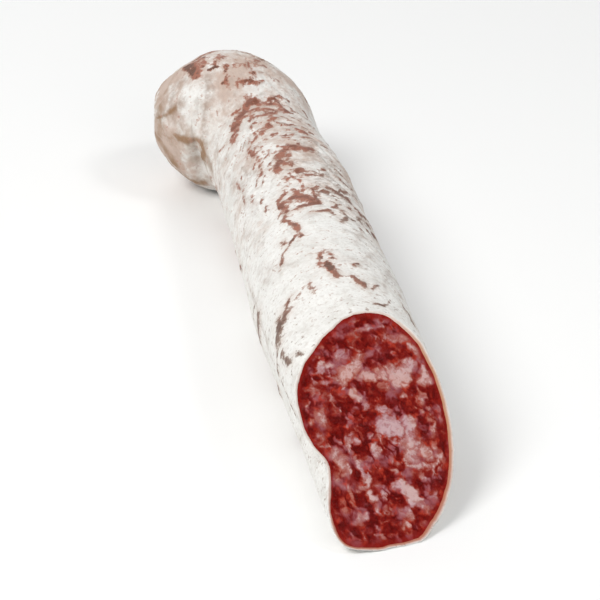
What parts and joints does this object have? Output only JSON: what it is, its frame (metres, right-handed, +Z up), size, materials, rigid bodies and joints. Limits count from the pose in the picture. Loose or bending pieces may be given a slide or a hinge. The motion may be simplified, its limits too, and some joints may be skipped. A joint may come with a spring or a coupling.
{
  "type": "cured sausage",
  "caption": "Dry-cured sausage with a white mould rind: a slanting cut shows the marbled meat at one end, and the other end hooks over to a rounded, puckered tip.",
  "frame": {"origin": "bottom centre of the bounding box, on the surface that the sausage lies on", "axes": "+Z up, +Y along the sausage from the slanting cut to the hooked end, +X to the right seen from the cut end"},
  "size_m": [0.0513, 0.2458, 0.0436],
  "materials": {
    "casing": "matt, powdery white mould on a thin natural casing, red-brown where it is bare",
    "meat": "moist, satin cut face of deep red meat with pale pink fat"
  },
  "bodies": {
    "root": {"sausage": "casing"}
  },
  "joints": []
}
